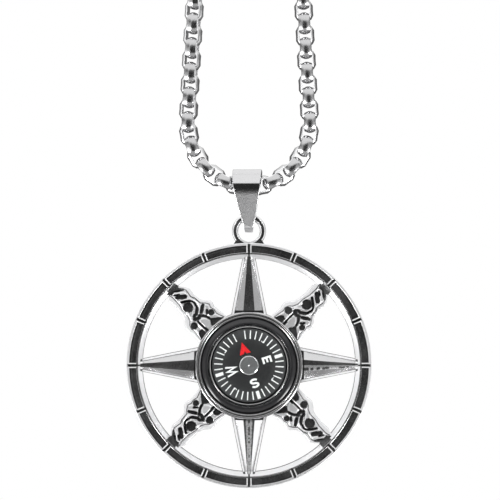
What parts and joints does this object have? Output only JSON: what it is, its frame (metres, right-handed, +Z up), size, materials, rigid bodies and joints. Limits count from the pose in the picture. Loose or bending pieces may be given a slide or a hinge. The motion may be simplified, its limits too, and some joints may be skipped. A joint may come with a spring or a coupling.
{
  "type": "compass pendant on a chain",
  "caption": "Round openwork pendant with straight rays and scroll arms round a small compass, on a tapered folded bail and a closed loop of round box chain.",
  "frame": {"origin": "where the loop of chain rests on the peg that it hangs from, inside the top of the loop", "axes": "+Z up along the hanging chain, -Y towards the viewer, out of the compass's face, +X to the viewer's right"},
  "size_m": [0.045, 0.0066, 0.2956],
  "materials": {
    "pendant_metal": "polished cast titanium with darkened recesses",
    "bail_metal": "brushed along its length",
    "chain_metal": "polished",
    "case_black": "moulded, satin",
    "card_black": "matt card with white printed marks",
    "arrow_red": "red print",
    "cap_metal": "satin",
    "lens_clear": "clear, polished"
  },
  "bodies": {
    "root": {"chain": "chain_metal", "clasp": "chain_metal"},
    "bail": {"bail": "bail_metal"},
    "pendant": {"casting": "pendant_metal", "case": "case_black", "lens": "lens_clear"},
    "compass_card": {"card": "card_black", "north_arrow": "arrow_red", "pivot_cap": "cap_metal"}
  },
  "joints": [
    {"name": "bail_swing", "type": "hinge", "parent": "root", "child": "bail", "pos_m": [0, 0, -0.23669], "axis": [0.9925, -0.1219, 0], "range_deg": [-75, 75]},
    {"name": "pendant_swing", "type": "hinge", "parent": "bail", "child": "pendant", "pos_m": [0, 0, -0.24242], "axis": [1, 0, 0], "range_deg": [-75, 75]},
    {"name": "card_turn", "type": "hinge", "parent": "pendant", "child": "compass_card", "pos_m": [0, -0.001, -0.26969], "axis": [0, -1, 0], "continuous": true}
  ]
}
